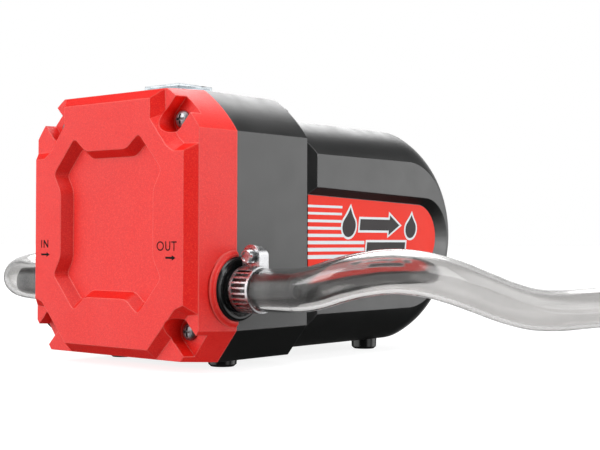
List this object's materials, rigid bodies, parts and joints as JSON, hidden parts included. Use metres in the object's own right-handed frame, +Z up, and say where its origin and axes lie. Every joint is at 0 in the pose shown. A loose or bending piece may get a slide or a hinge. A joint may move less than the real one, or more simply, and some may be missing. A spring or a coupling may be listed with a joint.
{
  "type": "fluid transfer pump",
  "caption": "Portable 12 V gear pump for diesel and oil, red front cover, black housing, barbed ports with clear hoses and worm-drive clamps.",
  "frame": {"origin": "centre of the bounding box in plan, on the surface the feet stand on; the hoses and their coils are not counted", "axes": "+X towards the outlet port, -Y the raised face of the red front cover, +Z up"},
  "size_m": [0.4642, 0.2176, 0.1122],
  "materials": {
    "red_plastic": "satin",
    "black_plastic": "satin",
    "black_gloss": "gloss",
    "seal_rubber": "matte",
    "steel": "satin",
    "brass": "satin",
    "copper": "satin",
    "label_red": "satin",
    "pump_body": "satin",
    "zinc": "satin",
    "gear_steel": "satin",
    "ferrite": "matte",
    "clear_vinyl": "gloss",
    "clear_plastic": "gloss"
  },
  "bodies": {
    "pump": {"front_cover": "red_plastic", "cover_gasket": "seal_rubber", "cover_screws": "steel", "cover_inserts": "brass", "mid_housing": "black_plastic", "motor_cover": "black_plastic", "motor_cover_screws": "steel", "label_right": "label_red", "label_left": "label_red", "pump_block": "pump_body", "pump_plate": "zinc", "plate_gasket": "seal_rubber", "plate_screws": "steel", "idler_pin": "steel", "shaft_seal": "seal_rubber", "block_screws": "steel", "inlet_port": "pump_body", "outlet_port": "pump_body", "port_seals": "seal_rubber", "inlet_clamp_band": "steel", "inlet_clamp_bridge": "steel", "outlet_clamp_band": "steel", "outlet_clamp_bridge": "steel", "inlet_hose": "clear_vinyl", "inlet_coil": "clear_vinyl", "outlet_hose": "clear_vinyl", "outlet_coil": "clear_vinyl", "motor_can": "zinc", "motor_magnets": "ferrite", "motor_end_cap": "black_gloss", "front_bearing": "steel", "rear_bearing": "steel", "brushes": "black_plastic", "brush_springs": "steel", "motor_screws": "steel", "switch_body": "black_gloss", "switch_terminals": "brass", "feet": "black_gloss", "feet_screws": "steel", "cable_gland": "black_plastic"},
    "rotor": {"motor_shaft": "steel", "armature_core": "steel", "armature_windings": "copper", "commutator": "brass", "drive_gear": "gear_steel", "gear_key": "steel"},
    "idler": {"idler_gear": "gear_steel"},
    "rocker": {"switch_rocker": "black_gloss"},
    "splash_cover": {"switch_cover": "clear_plastic", "cover_pin": "steel"},
    "inlet_worm": {"inlet_clamp_screw": "steel"},
    "outlet_worm": {"outlet_clamp_screw": "steel"}
  },
  "joints": [
    {"name": "shaft_spin", "type": "hinge", "parent": "pump", "child": "rotor", "pos_m": [0, -0.0735, 0.04072], "axis": [0, 1, 0], "continuous": true},
    {"name": "idler_spin", "type": "hinge", "parent": "pump", "child": "idler", "pos_m": [0, -0.0703, 0.02148], "axis": [0, 1, 0], "continuous": true},
    {"name": "switch_rock", "type": "hinge", "parent": "pump", "child": "rocker", "pos_m": [0, -0.0543, 0.1055], "axis": [1, 0, 0], "range_deg": [0, 16]},
    {"name": "cover_flip", "type": "hinge", "parent": "pump", "child": "splash_cover", "pos_m": [0, -0.0436, 0.1087], "axis": [-1, 0, 0], "range_deg": [0, 110]},
    {"name": "inlet_worm_turn", "type": "hinge", "parent": "pump", "child": "inlet_worm", "pos_m": [-0.0564, -0.0703, 0.0435], "axis": [0, 1, 0], "continuous": true},
    {"name": "outlet_worm_turn", "type": "hinge", "parent": "pump", "child": "outlet_worm", "pos_m": [0.0564, -0.0703, 0.0435], "axis": [0, 1, 0], "continuous": true}
  ],
  "couplings": [
    {"joint": "idler_spin", "follows": "shaft_spin", "ratio": -1}
  ]
}
